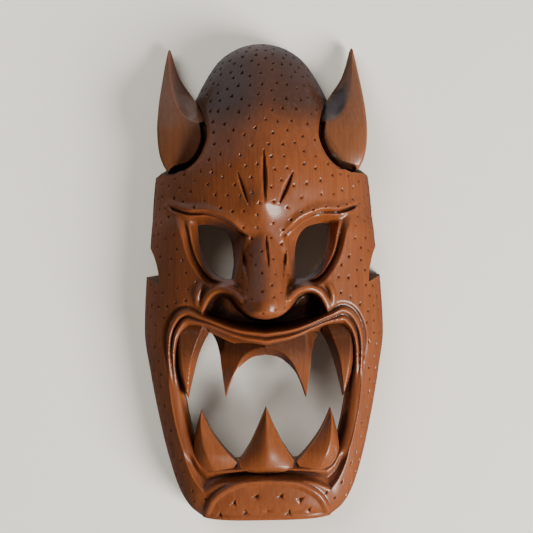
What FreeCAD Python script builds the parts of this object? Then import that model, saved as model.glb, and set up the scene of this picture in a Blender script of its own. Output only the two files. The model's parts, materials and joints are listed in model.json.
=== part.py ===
"""A carved wooden demon mask for the wall: bald dotted skull, two leaf-shaped horns, pierced eyes and
an open pierced mouth with four upper and three lower fangs. A strap hanger with a swinging ring is
screwed into a recess in the back of the crown.

Frame: the flat back lies on the plane y = 0, the face looks along -Y and the crown is at +Z. The origin
is on the centre line of the back, on the wood between the hollow and the hanger. Millimetres.
"""

import FreeCAD
import Part
import math
import os

V = FreeCAD.Vector

# Overall sizes of the carving. Outlines and section tables are drawn for the drawn sizes, and are
# stretched to these.
MASK_WIDTH = 204.0
MASK_HEIGHT = 400.0
MASK_DEPTH = 98.0
DRAWN_WIDTH = 204.0
DRAWN_HEIGHT = 400.0
DRAWN_DEPTH = 98.0

# Wood left around the hollow back, and how far the lips and the chin stand proud of the face.
RIM_WIDTH = 12.0
LIP_RISE = 3.0
CHIN_RISE = 2.5

# Horns: a round tenon on each horn is glued into a bore in the side of the skull.
HORN_TENON_RADIUS = 5.0
HORN_TENON_LENGTH = 9.0
HORN_GAP = 0.1

# Fangs: their thickness, and the glue gap around each root in its socket.
UPPER_FANG_THICKNESS = 13.0
LOWER_FANG_THICKNESS = 13.0
FANG_GAP = 0.1

# Hanger: a strap with a rolled loop, a ring of round wire that swings in it, and a pan-head screw.
STRAP_WIDTH = 10.0
STRAP_THICKNESS = 0.8
STRAP_TAIL = 14.0
WIRE_RADIUS = 0.9
WIRE_CLEARANCE = 0.1
LOOP_FOOT_GAP = 0.3
RING_SIDE_GAP = 0.8
RING_DROP = 11.0
SCREW_BELOW_PIVOT = 6.0
SCREW_RADIUS = 1.5
SCREW_CLEARANCE = 0.05
SCREW_LENGTH = 13.0
SCREW_HEAD_RADIUS = 2.6
SCREW_HEAD_HEIGHT = 1.6
SCREW_SLOT_WIDTH = 0.7
SCREW_SLOT_DEPTH = 0.8
RECESS_MARGIN = 2.0
RECESS_COVER = 0.8

# Everything from here to the functions is drawn in the drawn sizes: x across, z up from mid height, and
# depth in front of the back plane.

# Height of the origin on the back.
ORIGIN_Z = 147.0

# Places of the horn tenon and of the ring's pivot.
TENON_Z = 118.0
TENON_DEPTH = 23.0
POCKET_X = 45.0
PIVOT_Z = 170.0

# Cross-sections of the carved block: height, half width, depth, and fullness (2 is an ellipse).
BLOCK = [
    (-200, 58, 40, 3.2),
    (-192, 66, 46, 3.2),
    (-178, 74, 50, 3.1),
    (-150, 83, 54, 2.9),
    (-120, 90, 57, 2.7),
    (-80, 97.5, 60, 2.5),
    (-45, 102, 64, 2.4),
    (0, 100, 65, 2.3),
    (30, 96, 70, 2.25),
    (60, 94, 80, 2.2),
    (88, 91, 83, 2.15),
    (110, 78, 80, 2.1),
    (132, 68, 74, 2.05),
    (151, 57.5, 65, 2.0),
    (169, 47.5, 53, 2.0),
    (184, 37, 40, 2.0),
    (193, 25.5, 27, 2.0),
    (200, 9, 9, 2.0),
]

# Cross-sections of the hollow behind the face. The rim is taken off the half width.
HOLLOW = [
    (-182, 66, 14, 2.6),
    (-150, 82, 23, 2.6),
    (-120, 89, 26, 2.6),
    (-80, 96, 27, 2.6),
    (-45, 100, 27, 2.6),
    (0, 94, 27, 2.6),
    (30, 93, 28, 2.6),
    (57, 90, 33, 2.5),
    (80, 76, 42, 2.3),
    (102, 50, 46, 2.2),
    (126, 45, 44, 2.2),
    (140, 39, 30, 2.0),
]

# Cross-sections of the nose, drawn through to the back plane.
NOSE = [
    (-33, 22, 84, 2.2),
    (-25, 34, 94, 2.2),
    (-15, 40, 98, 2.2),
    (4, 31, 92, 2.2),
    (27, 24, 84, 2.2),
    (48, 20, 80, 2.2),
]

# Right horn: height, inner and outer edge, back and front depth.
HORN = [
    (86, 62, 74, 14, 26),
    (93, 50, 81, 8, 40),
    (106, 40, 85.5, 5, 48),
    (120, 38, 87, 5, 50),
    (134, 42, 86.5, 6, 46),
    (149, 54, 85, 8, 38),
    (164, 64, 83, 10, 30),
    (178, 71.5, 81.5, 12, 24),
    (193, 76, 79, 15, 19),
]

# Right-hand fangs: height, inner edge, outer edge, and share of the full thickness.
UPPER_FANG_BACK = 36
UPPER_INNER_FANG = [
    (-99.5, 32, 33.5, 0.15),
    (-82, 26.5, 37, 0.55),
    (-68, 19, 39.5, 0.85),
    (-59, 10, 40.5, 1.0),
    (-45, 4, 40.5, 1.0),
]
UPPER_OUTER_FANG = [
    (-99.5, 63, 64.5, 0.15),
    (-84, 58, 69, 0.5),
    (-68, 53, 72.5, 0.85),
    (-50, 46, 73.5, 1.0),
    (-31, 48, 70, 1.0),
]
LOWER_FANG_BACK = 34
LOWER_SIDE_FANG = [
    (-164, 30, 54, 1.0),
    (-151, 24.5, 58.5, 1.0),
    (-140, 33, 59.5, 0.85),
    (-125, 43, 58, 0.55),
    (-109, 52.2, 53.8, 0.15),
]
LOWER_CENTRE_FANG = [
    (-163, -19, 19, 1.0),
    (-151, -21.5, 21.5, 1.0),
    (-140, -15, 15, 0.85),
    (-125, -8, 8, 0.55),
    (-107.5, -0.8, 0.8, 0.15),
]

# Depths of the carved floors.
SOCKET_FLOOR = 40
NOSTRIL_FLOOR = 42
MOUTH_FLOOR = 36
LIP_FLOOR = 30
PAST_BACK = -20
PAST_FRONT = 120

SECTION_STEPS = 14
BACK_ALLOWANCE = 5.0  # wood behind the back plane, which is planed off last of all


def mirrored_run(run):
    return [(-x, z) for x, z in reversed(run)]


def symmetric(runs):
    """The right half of an outline, drawn from its top middle to its bottom middle, made whole."""
    return runs + [mirrored_run(run) for run in reversed(runs)]


# Outlines: each is a list of runs that join end to end. A run of two points is a straight line.
EYE_SOCKET = [
    [(76, 58), (61, 53.5), (46, 52), (31, 46), (22, 39.5), (14, 34)],
    [(14, 34), (20, 14), (26, -5)],
    [(26, -5), (36, -6), (47, -4.5), (61, 14), (68, 38), (76, 58)],
]
EYE_HOLE = [
    [(54, 43), (45.5, 43.5), (34, 40), (27, 30), (25, 13), (27, -1.5)],
    [(27, -1.5), (35, -0.5), (44, 7), (50, 18), (53, 29), (54, 43)],
]
MOUTH_OUTER = symmetric([
    [(0, -41), (25, -38), (50, -30), (62, -24), (73, -29), (80, -42), (82, -60)],
    [(82, -60), (78.5, -100), (71.5, -134), (61, -162), (52, -175)],
    [(52, -175), (34, -166.5), (0, -162)],
])
MOUTH_INNER = symmetric([
    [(0, -55.5), (22, -51), (42, -41), (58, -32), (68, -37), (74, -50), (75, -66)],
    [(75, -66), (72.5, -100), (66.5, -134), (57, -157)],
    [(57, -157), (32, -160), (0, -157)],
])
MOUTH_HOLE = symmetric([
    [(0, -62), (22, -58), (38, -52), (46, -47), (58, -47), (67, -58), (69, -72)],
    [(69, -72), (65.5, -102), (59, -132), (51, -150)],
    [(51, -150), (26, -152), (0, -150)],
])
NOSTRILS = symmetric([
    [(0, -33), (12, -29), (22, -22), (34, -18), (43, -22), (50, -31)],
    [(50, -31), (24, -38), (0, -41)],
])
CHIN_ARCH = symmetric([
    [(0, -163), (24, -166), (42, -176), (50, -188), (54, -200)],
    [(54, -200), (0, -200)],
])
HORN_POCKET = [
    [(58, 215), (58, 154)],
    [(58, 154), (50, 139), (46, 125), (POCKET_X, 112), (50.5, 98), (59, 89.5), (72, 86.5)],
    [(72, 86.5), (125, 86.5)],
    [(125, 86.5), (125, 215)],
    [(125, 215), (58, 215)],
]
CHEEK_NOTCH = [
    [(97.5, 28), (89, 7.5)],
    [(89, 7.5), (100.5, 1.5)],
    [(100.5, 1.5), (125, 1.5)],
    [(125, 1.5), (125, 28)],
    [(125, 28), (97.5, 28)],
]
POCKET_DROP = 8
NOTCH_DROP = 12


def across(x):
    """A drawn distance across the mask, in millimetres."""
    return x * MASK_WIDTH / DRAWN_WIDTH


def up(z):
    """A drawn height, in millimetres above the origin."""
    return (z - ORIGIN_Z) * MASK_HEIGHT / DRAWN_HEIGHT


def out(depth):
    """A drawn depth in front of the back plane, as a y coordinate in millimetres."""
    return -depth * MASK_DEPTH / DRAWN_DEPTH


def spline(points, closed=False):
    curve = Part.BSplineCurve()
    curve.interpolate(points, PeriodicFlag=closed)
    return curve.toShape()


def line(start, end):
    return Part.LineSegment(start, end).toShape()


def box(low, high):
    size = high - low
    return Part.makeBox(size.x, size.y, size.z, low)


def both_sides(shape):
    return [shape, shape.mirror(V(0, 0, 0), V(1, 0, 0))]


def section_wire(z, half_width, depth, fullness):
    """A D-shaped section: a full curve in front of the back plane, and a straight allowance behind it."""
    points = [V(-half_width, 0, z)]
    for step in range(1, SECTION_STEPS):
        angle = math.pi * (step / SECTION_STEPS - 0.5)
        width_share = abs(math.sin(angle)) ** (2 / fullness)
        depth_share = math.cos(angle) ** (2 / fullness)
        points.append(V(math.copysign(half_width * width_share, angle), -depth * depth_share, z))
    points.append(V(half_width, 0, z))
    left_back, right_back = V(-half_width, BACK_ALLOWANCE, z), V(half_width, BACK_ALLOWANCE, z)
    sides = [line(points[-1], right_back), line(right_back, left_back), line(left_back, points[0])]
    return Part.Wire([spline(points)] + sides)


def barrel(table, narrower=0.0, prouder=0.0):
    """A solid lofted through a table of D-shaped sections."""
    wires = []
    for z, half_width, depth, fullness in table:
        wires.append(section_wire(up(z), across(half_width) - narrower, prouder - out(depth), fullness))
    return Part.makeLoft(wires, True, False)


def outline_wire(runs, depth):
    edges = []
    for run in runs:
        points = [V(across(x), out(depth), up(z)) for x, z in run]
        edges.append(line(*points) if len(points) == 2 else spline(points))
    return Part.Wire(edges)


def prism(runs, back_depth, front_depth):
    """An outline extruded from one depth to another."""
    face = Part.Face(outline_wire(runs, back_depth))
    return face.extrude(V(0, out(front_depth) - out(back_depth), 0))


def sloped_prism(runs, drop):
    """An outline cut right through the mask, falling by drop from back to front."""
    lower_runs = [[(x, z - drop) for x, z in run] for run in runs]
    return Part.makeLoft([outline_wire(runs, PAST_BACK), outline_wire(lower_runs, PAST_FRONT)], True, True)


def raised_band(rise, outer_runs, inner_runs=None):
    """Carving that stands proud of the block by rise, inside one outline and outside another."""
    band = prism(outer_runs, LIP_FLOOR, PAST_FRONT)
    if inner_runs:
        band = band.cut(prism(inner_runs, PAST_BACK, PAST_FRONT))
    return band.common(barrel(BLOCK, prouder=rise))


def horn_tenon(gap=0.0):
    """The right horn's tenon, from inside the horn to its end in the skull."""
    overlap = HORN_TENON_LENGTH
    start = V(across(POCKET_X) + overlap, out(TENON_DEPTH), up(TENON_Z))
    length = overlap + HORN_TENON_LENGTH + gap
    return Part.makeCylinder(HORN_TENON_RADIUS + gap, length, start, V(-1, 0, 0))


def right_horn():
    wires = []
    for z, inner, outer, back, front in HORN:
        centre = V(across((inner + outer) / 2), (out(back) + out(front)) / 2, up(z))
        half_width, half_depth = across((outer - inner) / 2), (out(back) - out(front)) / 2
        points = []
        for step in range(SECTION_STEPS):
            angle = 2 * math.pi * step / SECTION_STEPS
            points.append(centre + V(half_width * math.cos(angle), half_depth * math.sin(angle), 0))
        wires.append(Part.Wire([spline(points, closed=True)]))
    pocket = sloped_prism(HORN_POCKET, POCKET_DROP).translate(V(HORN_GAP, 0, HORN_GAP))
    return Part.makeLoft(wires, True, False).common(pocket).fuse(horn_tenon())


def fang(stations, back_depth, thickness, gap=0.0):
    """A fang with a flat back and a rounded front, or with a gap its socket."""
    wires = []
    for z, inner, outer, share in stations:
        left = V(across(inner) - gap, out(back_depth) + gap, up(z))
        right = V(across(outer) + gap, out(back_depth) + gap, up(z))
        front = V((left.x + right.x) / 2, out(back_depth) - thickness * share - gap, up(z))
        wires.append(Part.Wire([Part.Arc(left, front, right).toShape(), line(right, left)]))
    root = wires[0] if abs(stations[0][3]) > abs(stations[-1][3]) else wires[-1]
    shape = Part.makeLoft(wires, True, False)
    if gap:
        away = gap if root is wires[-1] else -gap
        shape = shape.fuse(Part.Face(root).extrude(V(0, 0, away)))
    return shape


def fangs(gap=0.0):
    """Every fang by name, or with a gap its socket."""
    shapes = {}
    rows = [
        ("upper", "inner", UPPER_INNER_FANG, UPPER_FANG_BACK, UPPER_FANG_THICKNESS),
        ("upper", "outer", UPPER_OUTER_FANG, UPPER_FANG_BACK, UPPER_FANG_THICKNESS),
        ("lower", "side", LOWER_SIDE_FANG, LOWER_FANG_BACK, LOWER_FANG_THICKNESS),
    ]
    for jaw, place, stations, back, thickness in rows:
        right, left = both_sides(fang(stations, back, thickness, gap))
        shapes[f"{jaw}_right_{place}_fang"] = right
        shapes[f"{jaw}_left_{place}_fang"] = left
    shapes["lower_centre_fang"] = fang(LOWER_CENTRE_FANG, LOWER_FANG_BACK, LOWER_FANG_THICKNESS, gap)
    return shapes


# Hanger geometry. Its floor is the bottom of the recess, and "lift" is measured from there to the back.

def loop_radius():
    return WIRE_RADIUS + WIRE_CLEARANCE + STRAP_THICKNESS


def pivot_lift():
    return LOOP_FOOT_GAP + loop_radius()


def recess_depth():
    return pivot_lift() + loop_radius() + RECESS_COVER


def at_lift(x, lift, below_pivot):
    """A point by its place across, its lift off the recess floor and its drop below the pivot."""
    return V(x, lift - recess_depth(), up(PIVOT_Z) - below_pivot)


def ring_corner():
    return RING_SIDE_GAP + WIRE_RADIUS


def ring_half_width():
    return STRAP_WIDTH / 2 + ring_corner()


def hanger_recess():
    half_width = ring_half_width() + WIRE_RADIUS + RECESS_MARGIN
    reach = RING_DROP + WIRE_RADIUS + RECESS_MARGIN
    below = max(reach, STRAP_TAIL + RECESS_MARGIN)
    return box(at_lift(-half_width, 0, below), at_lift(half_width, 2 * recess_depth(), -reach))


def hanger_strap():
    plate = box(at_lift(-STRAP_WIDTH / 2, 0, STRAP_TAIL), at_lift(STRAP_WIDTH / 2, STRAP_THICKNESS, 0))
    tail = Part.makeCylinder(STRAP_WIDTH / 2, STRAP_THICKNESS,
                             at_lift(0, 0, STRAP_TAIL - STRAP_WIDTH / 2), V(0, 1, 0))
    square_end = box(at_lift(-STRAP_WIDTH / 2, 0, STRAP_TAIL),
                     at_lift(STRAP_WIDTH / 2, STRAP_THICKNESS, STRAP_TAIL - STRAP_WIDTH / 2))
    plate = plate.cut(square_end).fuse(tail)
    loop_start = at_lift(-STRAP_WIDTH / 2, pivot_lift(), 0)
    loop = Part.makeCylinder(loop_radius(), STRAP_WIDTH, loop_start, V(1, 0, 0))
    bore = Part.makeCylinder(WIRE_RADIUS + WIRE_CLEARANCE, STRAP_WIDTH, loop_start, V(1, 0, 0))
    hole = Part.makeCylinder(SCREW_RADIUS + SCREW_CLEARANCE, STRAP_THICKNESS,
                             at_lift(0, 0, SCREW_BELOW_PIVOT), V(0, 1, 0))
    return plate.fuse(loop).cut(bore).cut(hole)


def hanger_ring():
    """A closed rectangle of wire with rounded corners, hanging straight down from its top bar."""
    half, drop, corner = ring_half_width(), RING_DROP, ring_corner()
    diagonal = corner * (1 - math.sqrt(0.5))

    def at(x, below):
        return at_lift(x, pivot_lift(), below)

    def bend(start, middle, end):
        return Part.Arc(at(*start), at(*middle), at(*end)).toShape()

    edges = [
        line(at(0, 0), at(half - corner, 0)),
        bend((half - corner, 0), (half - diagonal, diagonal), (half, corner)),
        line(at(half, corner), at(half, drop - corner)),
        bend((half, drop - corner), (half - diagonal, drop - diagonal), (half - corner, drop)),
        line(at(half - corner, drop), at(corner - half, drop)),
        bend((corner - half, drop), (diagonal - half, drop - diagonal), (-half, drop - corner)),
        line(at(-half, drop - corner), at(-half, corner)),
        bend((-half, corner), (diagonal - half, diagonal), (corner - half, 0)),
        line(at(corner - half, 0), at(0, 0)),
    ]
    section = Part.Wire([Part.makeCircle(WIRE_RADIUS, at(0, 0), V(1, 0, 0))])
    return Part.Wire(edges).makePipeShell([section], True, False)


def hanger_screw(gap=0.0):
    """The screw, or with a gap the pilot bore for its shank."""
    underside = at_lift(0, STRAP_THICKNESS, SCREW_BELOW_PIVOT)
    shank = Part.makeCylinder(SCREW_RADIUS + gap, SCREW_LENGTH + gap, underside, V(0, -1, 0))
    if gap:
        return shank
    head = Part.makeCylinder(SCREW_HEAD_RADIUS, SCREW_HEAD_HEIGHT, underside, V(0, 1, 0))
    head = head.makeFillet(SCREW_HEAD_HEIGHT / 2, [head.Edges[0]])
    head_top = STRAP_THICKNESS + SCREW_HEAD_HEIGHT
    slot_low, slot_high = SCREW_BELOW_PIVOT + SCREW_SLOT_WIDTH / 2, SCREW_BELOW_PIVOT - SCREW_SLOT_WIDTH / 2
    slot = box(at_lift(-SCREW_HEAD_RADIUS, head_top - SCREW_SLOT_DEPTH, slot_low),
               at_lift(SCREW_HEAD_RADIUS, head_top, slot_high))
    return head.cut(slot).fuse(shank)


def face_shell():
    """The carved block, hollow behind, with its eyes, mouth, nose, lips and chin, and every socket."""
    face = barrel(BLOCK).fuse(barrel(NOSE)).cut(barrel(HOLLOW, narrower=RIM_WIDTH))
    face = face.cut(prism(NOSTRILS, NOSTRIL_FLOOR, PAST_FRONT))
    face = face.cut(prism(MOUTH_OUTER, MOUTH_FLOOR, PAST_FRONT))
    face = face.fuse(raised_band(LIP_RISE, MOUTH_OUTER, MOUTH_INNER))
    face = face.fuse(raised_band(CHIN_RISE, CHIN_ARCH))
    cutters = [prism(MOUTH_HOLE, PAST_BACK, PAST_FRONT)]
    cutters += both_sides(prism(EYE_SOCKET, SOCKET_FLOOR, PAST_FRONT))
    cutters += both_sides(prism(EYE_HOLE, PAST_BACK, PAST_FRONT))
    cutters += both_sides(sloped_prism(HORN_POCKET, POCKET_DROP))
    cutters += both_sides(sloped_prism(CHEEK_NOTCH, NOTCH_DROP))
    cutters += both_sides(horn_tenon(HORN_GAP))
    cutters += list(fangs(FANG_GAP).values())
    cutters += [hanger_recess(), hanger_screw(SCREW_CLEARANCE)]
    cutters.append(box(V(-MASK_WIDTH, 0, -MASK_HEIGHT), V(MASK_WIDTH, MASK_DEPTH, MASK_HEIGHT)))
    for cutter in cutters:
        face = face.cut(cutter)
    return face


def main():
    os.makedirs("parts", exist_ok=True)
    pieces = {"face_shell": face_shell()}
    pieces["right_horn"], pieces["left_horn"] = both_sides(right_horn())
    pieces.update(fangs())
    pieces["hanger_strap"] = hanger_strap()
    pieces["hanger_ring"] = hanger_ring()
    pieces["hanger_screw"] = hanger_screw()
    for name, shape in pieces.items():
        shape.exportStep(os.path.join("parts", name + ".step"))
        print(name, len(shape.Solids), "solid, valid:", shape.isValid(), round(shape.Volume), "mm3")


main()
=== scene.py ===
"""A carved wooden demon mask for the wall, seen from the front on a plain pale backdrop.

The face, the horns and the fangs are carved here as dense meshes around the CAD model, which keeps their
sizes and places. Carving is laid out in drawn millimetres: x across from the centre line, z up from mid
height, and depth forward of the flat back. It is stretched to the box of the CAD's face.
"""

import json
import math

import bpy
import numpy as np
from mathutils import Matrix, Vector
from mathutils.bvhtree import BVHTree


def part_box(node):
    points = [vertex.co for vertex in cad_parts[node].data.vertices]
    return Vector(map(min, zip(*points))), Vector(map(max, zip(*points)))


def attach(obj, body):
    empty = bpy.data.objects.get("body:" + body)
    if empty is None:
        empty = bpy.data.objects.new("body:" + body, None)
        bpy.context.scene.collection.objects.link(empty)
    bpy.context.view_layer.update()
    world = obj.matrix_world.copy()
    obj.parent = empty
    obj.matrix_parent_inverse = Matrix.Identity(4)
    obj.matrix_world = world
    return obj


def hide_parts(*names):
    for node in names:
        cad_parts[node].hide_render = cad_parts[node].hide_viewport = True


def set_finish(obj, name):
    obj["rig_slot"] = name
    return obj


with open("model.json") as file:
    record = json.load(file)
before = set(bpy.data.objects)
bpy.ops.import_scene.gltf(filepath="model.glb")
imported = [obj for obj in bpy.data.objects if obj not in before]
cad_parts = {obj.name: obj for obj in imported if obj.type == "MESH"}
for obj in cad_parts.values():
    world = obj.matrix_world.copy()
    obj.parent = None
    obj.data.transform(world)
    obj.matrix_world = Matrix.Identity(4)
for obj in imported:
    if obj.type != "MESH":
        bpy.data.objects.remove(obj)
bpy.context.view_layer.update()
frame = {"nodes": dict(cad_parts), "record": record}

SEED = 7
# Drawn distance between neighbouring points of the carving, and the most triangles that the face may have.
GRID_STEP = 0.62
MAX_TRIANGLES = 190000
# Nicks, in millimetres: how far the corners reach from the middle, depth, the spacing on the face and how
# much closer they are on the crown. Those on the chin are larger and listed one by one.
NICK_SIZE = 1.3
NICK_DEPTH = 1.8
NICK_SPACING = 9.4
CROWN_CLOSER = 1.8
MOST_NICKS = 900
PLACES_TRIED = 60000
CHIN_NICK_SIZE = 2.4
CHIN_NICK_DEPTH = 2.2

# Half width, height and depth that the carving is drawn for.
DRAWN_HALF_WIDTH = 102.0
DRAWN_HEIGHT = 400.0
DRAWN_DEPTH = 98.0

# ---------------------------------------------------------------------------------------------------
# The carving's drawing. Outlines are lists of runs that join end to end; a run of two points is
# straight, and more points make a smooth curve. Only the right-hand half is drawn.

# The block: height, half width, depth, and fullness of the section (2 is an ellipse).
BLOCK = [
    (-200, 58, 40, 3.2), (-192, 66, 46, 3.2), (-178, 74, 50, 3.1), (-150, 83, 54, 2.9),
    (-120, 90, 57, 2.7), (-80, 97.5, 60, 2.5), (-45, 102, 64, 2.4), (0, 100, 65, 2.3),
    (30, 96, 70, 2.25), (60, 94, 80, 2.2), (88, 91, 83, 2.15), (110, 78, 80, 2.1),
    (132, 68, 74, 2.05), (151, 57.5, 65, 2.0), (169, 47.5, 53, 2.0), (184, 37, 40, 2.0),
    (193, 25.5, 27, 2.0), (200, 0, 0, 2.0),
]
# The hollow behind the face: height and depth, and its outline, a rim's width inside the block.
HOLLOW_DEPTH = [(-182, 14), (-150, 23), (-120, 26), (-45, 27), (0, 27), (30, 28), (57, 33), (80, 42),
                (102, 46), (126, 44), (140, 30)]
HOLLOW_OUTLINE = [
    [(0, 141), (18, 138), (28, 128), (33, 112), (37, 98), (52, 86), (68, 76), (77, 58), (81, 30),
     (84, 0), (87, -45), (84, -80), (77, -120), (69, -150), (54, -180), (0, -184)],
]
EYE_HOLE = [
    [(54, 43), (45.5, 43.5), (34, 40), (27, 30), (25, 13), (27, -1.5)],
    [(27, -1.5), (35, -0.5), (44, 7), (50, 18), (53, 29), (54, 43)],
]
BROW_EDGE = [(77, 58.5), (61, 53.5), (46, 52.5), (31, 46.5), (22, 39.5), (14, 33)]
SOCKET_NOSE_SIDE = [(14, 33), (19, 14), (24, -5)]
SOCKET_CHEEK_SIDE = [(24, -5), (36, -6.5), (47, -5), (61, 14), (68.5, 38), (77, 58.5)]
MOUTH_OUTER = [
    [(0, -41.5), (25, -38.5), (50, -29), (62, -23), (73, -28), (80, -42), (81.5, -60)],
    [(81.5, -60), (78.5, -100), (71.5, -134), (61, -162), (52, -175)],
    [(52, -175), (34, -167), (0, -162.5)],
]
MOUTH_HOLE = [
    [(0, -62.5), (10, -59.5), (20, -57), (32, -52), (42, -47), (52, -44), (61, -46), (67, -56), (69, -72)],
    [(69, -72), (65.5, -102), (59, -132), (51, -149)],
    [(51, -149), (26, -151.5), (0, -149)],
]
NOSTRIL = [
    [(0, -32.5), (11, -30), (20, -23), (26, -15.5), (35, -11.5), (43, -15.5), (49.5, -27)],
    [(49.5, -27), (48, -30.5), (25, -39), (0, -42)],
]
CHIN = [
    [(0, -163.5), (24, -166), (42, -176), (50, -188), (54, -201)],
    [(54, -201), (0, -201)],
]
HORN_POCKET = [
    [(58, 215), (58, 154)],
    [(58, 154), (50, 139), (46, 125), (45, 112), (50.5, 98), (59, 89.5), (72, 85)],
    [(72, 85), (92, 86.5)],
    [(92, 86.5), (125, 86.5)],
    [(125, 86.5), (125, 215)],
    [(125, 215), (58, 215)],
]
CHEEK_NOTCH = [
    [(97.5, 28), (91, 18), (87.2, 6)],
    [(87.2, 6), (86, -5)],
    [(86, -5), (99.5, 1)],
    [(99.5, 1), (125, 1)],
    [(125, 1), (125, 28)],
    [(125, 28), (97.5, 28)],
]
# How far the sloping cuts rise from front to back: place across, rise.
NOTCH_RISE = [(86, 8), (99.5, 0)]
SHOULDER_RISE = [(60, 8), (80, 8), (92, 1)]

# Nose: height, depth of its ridge, half width.
NOSE = [(52, 76, 12), (38, 71, 14), (30, 74, 15.5), (14, 81.5, 19.5), (0, 88.5, 23), (-12, 95, 26),
        (-20, 98, 27.5), (-26, 97, 27.5), (-28, 95, 27), (-31, 88, 25), (-36, 78, 20)]
NOSE_FOOT = 56
LIP_FLOOR = 35
# Ribs: rounded ridges along a curve of (across, height, depth), with a radius.
WING_RIB = [(18, -17, 86), (24, -11.5, 80), (33, -8.6, 74), (41.5, -11.5, 69), (47.5, -19, 63),
            (50, -27, 58)]
CURL_RIB = [(46, -4, 58), (51, -7.5, 60.5), (54, -14, 60.5), (54, -21, 58), (51.5, -28, 54)]

# Gouge cuts: two ends, width and depth.
GOUGES = [
    ((0, 100), (0.5, 56), 4.6, 3.6), ((23, 83), (11.5, 57), 4.4, 3.2), ((-21, 84), (-12, 56), 3.2, 2.6),
    ((0.5, 36), (3, 6), 3.6, 3.0), ((17, 24), (13.5, -3), 3.8, 3.2), ((-17.5, 24), (-13, -5), 4.2, 3.4),
]
# Middles of the large nicks on the chin.
CHIN_NICKS = [(-27, -184), (-9, -179), (11, -179), (27, -182), (-39, -196), (-18, -193), (0, -192),
              (17, -194), (34, -192)]


# ---------------------------------------------------------------------------------------------------
# Curves and distances, in drawn millimetres.

def along_table(table, column, at):
    """A smooth curve through one column of a table, with no overshoot between its rows."""
    rows = sorted(table)
    key = np.array([row[0] for row in rows], float)
    value = np.array([row[column] for row in rows], float)
    gap = np.diff(key)
    rise = np.diff(value) / gap
    slope = np.zeros_like(value)
    slope[0], slope[-1] = rise[0], rise[-1]
    same = rise[:-1] * rise[1:] > 0
    both = 2 * rise[:-1] * rise[1:] / np.where(same, rise[:-1] + rise[1:], 1)
    slope[1:-1] = np.where(same, both, 0)
    i = np.clip(np.searchsorted(key, at) - 1, 0, len(gap) - 1)
    t = np.clip((at - key[i]) / gap[i], 0, 1)
    u = 1 - t
    return (value[i] * (1 + 2 * t) * u * u + slope[i] * gap[i] * t * u * u
            + value[i + 1] * (1 + 2 * u) * t * t - slope[i + 1] * gap[i] * u * t * t)


def smooth_run(points, pieces=8):
    """Points along a smooth curve through the given ones, which may have a depth as well."""
    points = np.array(points, float)
    if len(points) == 2:
        return points
    ends = np.vstack([2 * points[0] - points[1], points, 2 * points[-1] - points[-2]])
    found = []
    for a, b, c, d in zip(ends[:-3], ends[1:-2], ends[2:-1], ends[3:]):
        for t in np.linspace(0, 1, pieces, endpoint=False):
            found.append(0.5 * (2 * b + (c - a) * t + (2 * a - 5 * b + 4 * c - d) * t * t
                                + (3 * b - a - 3 * c + d) * t ** 3))
    found.append(points[-1])
    return np.array(found)


def closed_outline(runs):
    return np.vstack([smooth_run(run)[:-1] for run in runs])


def distance(path, x, z, closed=False):
    """Distance from each point to a path, the path's own values there, and whether it is inside."""
    nearest = np.full(x.shape, 1e6)
    values = np.zeros(x.shape + (path.shape[1],))
    inside = np.zeros(x.shape, bool)
    ends = np.roll(path, -1, axis=0) if closed else path[1:]
    for a, b in zip(path, ends):
        dx, dz = b[0] - a[0], b[1] - a[1]
        length2 = dx * dx + dz * dz
        if length2 == 0:
            continue
        t = np.clip(((x - a[0]) * dx + (z - a[1]) * dz) / length2, 0, 1)
        gap = np.hypot(x - a[0] - t * dx, z - a[1] - t * dz)
        closer = gap < nearest
        nearest[closer] = gap[closer]
        values[closer] = a + t[closer, None] * (b - a)
        if closed and dz != 0:
            inside ^= ((a[1] > z) != (b[1] > z)) & (x < a[0] + (z - a[1]) * dx / dz)
    return nearest, values, inside


def within(runs, x, z, reach=30.0):
    """Signed distance to a closed outline, positive inside. Points further off than reach are skipped."""
    path = closed_outline(runs)
    low, high = path.min(0) - reach, path.max(0) + reach
    found = np.full(x.shape, -reach)
    near = (x > low[0]) & (x < high[0]) & (z > low[1]) & (z < high[1])
    gap, _, inside = distance(path, x[near], z[near], closed=True)
    found[near] = np.where(inside, gap, -gap)
    return found


def mirrored(runs):
    """A right-hand half outline, from top middle to bottom middle, as a whole one."""
    return runs + [[(-x, z) for x, z in reversed(run)] for run in reversed(runs)]


def ease(low, high, value):
    t = np.clip((value - low) / (high - low), 0, 1)
    return t * t * (3 - 2 * t)


def soft_max(a, b, softness):
    return 0.5 * (a + b + np.sqrt((a - b) ** 2 + softness ** 2))


def ripple(x, z, size, seed):
    """Slow unevenness of hand-cut wood, about -1 to 1."""
    rng = np.random.default_rng(seed)
    total = np.zeros(x.shape)
    for _ in range(7):
        angle, phase = rng.uniform(0, math.pi), rng.uniform(0, 2 * math.pi)
        pitch = size * rng.uniform(0.7, 1.6)
        total += np.sin((x * math.cos(angle) + z * math.sin(angle)) * 2 * math.pi / pitch + phase)
    return total / 4


# ---------------------------------------------------------------------------------------------------
# The relief of the face. Each step takes the depth so far and returns the carved depth.

# The block with its widths and depths squared, which makes its ends round.
BLOCK_SQUARED = [(z, width ** 2, depth ** 2, fullness) for z, width, depth, fullness in BLOCK]


def block_depth(x, z):
    half_width = np.sqrt(np.maximum(along_table(BLOCK_SQUARED, 1, z), 1e-6))
    depth = np.sqrt(np.maximum(along_table(BLOCK_SQUARED, 2, z), 0))
    fullness = along_table(BLOCK_SQUARED, 3, z)
    share = np.clip(1 - np.abs(x / half_width) ** fullness, 0, 1)
    return depth * share ** (1 / fullness)


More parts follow.
